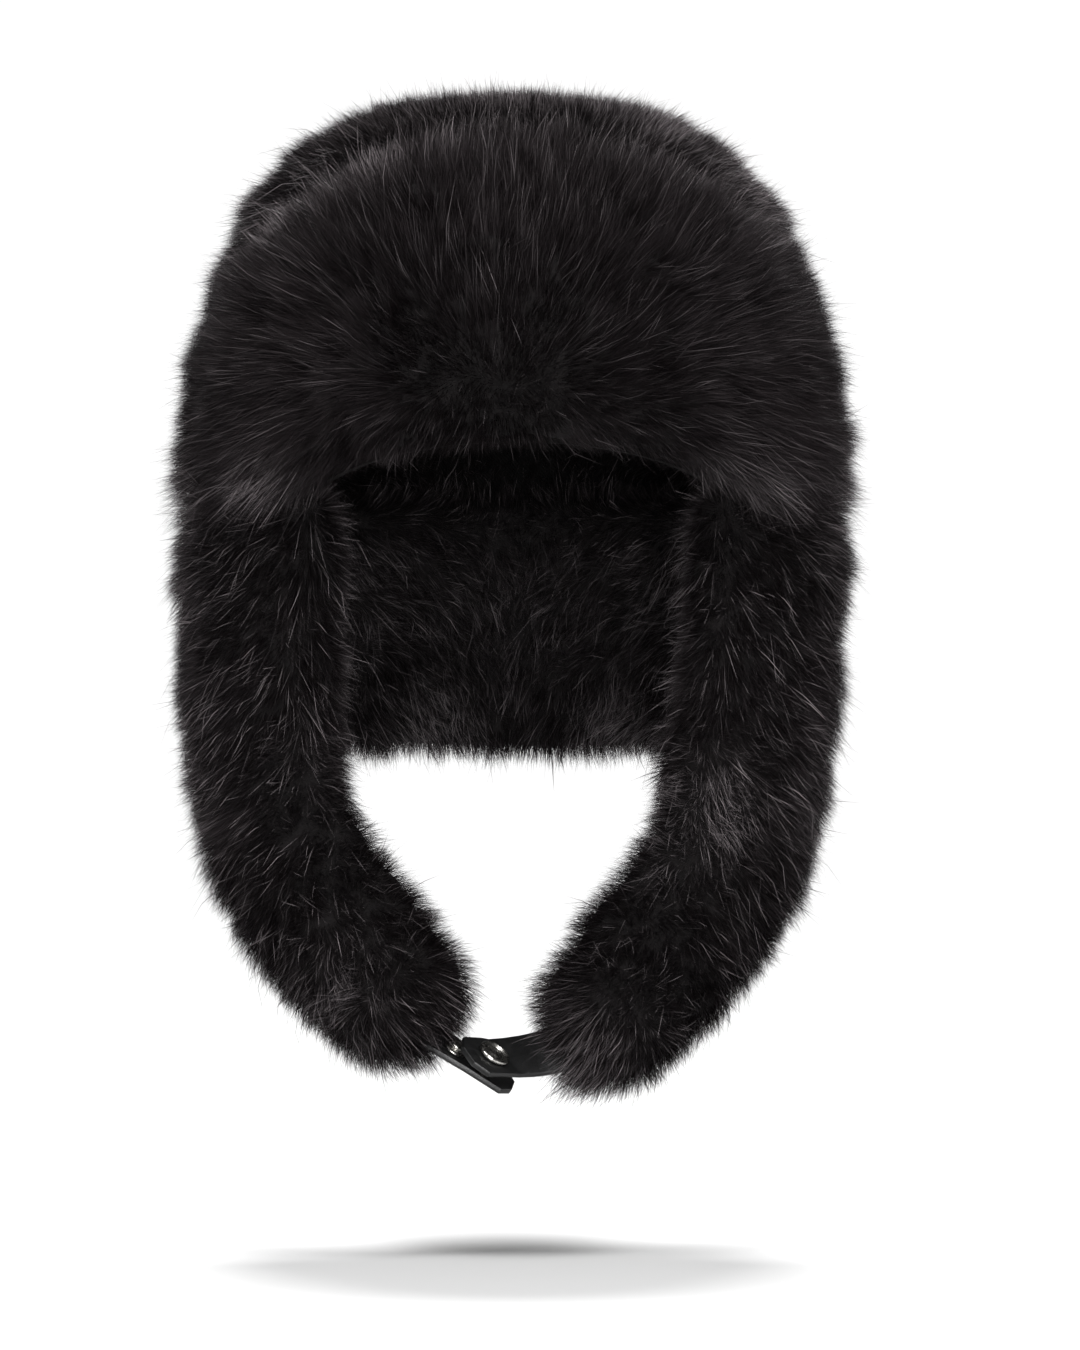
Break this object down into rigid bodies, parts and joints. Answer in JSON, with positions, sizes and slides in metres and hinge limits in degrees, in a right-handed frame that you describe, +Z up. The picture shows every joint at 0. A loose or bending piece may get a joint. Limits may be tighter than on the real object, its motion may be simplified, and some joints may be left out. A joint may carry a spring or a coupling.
{
  "type": "bomber hat",
  "caption": "Deep-pile bomber hat with an open crown, a turned-up front flap, a neck flap and ear flaps that meet at snap tabs under the chin.",
  "frame": {"origin": "where the top of the head touches the inside of the crown", "axes": "+Z up the head, the face looks along -Y, +X towards the wearer's left"},
  "size_m": [0.2455, 0.2803, 0.353],
  "materials": {
    "fur": "deep black pile with a soft silver sheen",
    "wall_cloth": "quilted black lining cloth, matt",
    "tab_leather": "smooth black, satin",
    "snap_metal": "dark nickel, polished"
  },
  "bodies": {
    "root": {"crown_wall": "wall_cloth", "crown_fur": "fur", "front_flap_wall": "wall_cloth", "front_flap_fur": "fur", "right_ear_flap_wall": "wall_cloth", "right_ear_flap_fur": "fur", "left_ear_flap_wall": "wall_cloth", "left_ear_flap_fur": "fur", "neck_flap_wall": "wall_cloth", "neck_flap_fur": "fur", "right_tab": "tab_leather", "left_tab": "tab_leather", "snap_cap": "snap_metal", "snap_socket": "snap_metal", "snap_stud": "snap_metal", "snap_rivet": "snap_metal", "spare_stud": "snap_metal", "spare_rivet": "snap_metal"}
  },
  "joints": []
}
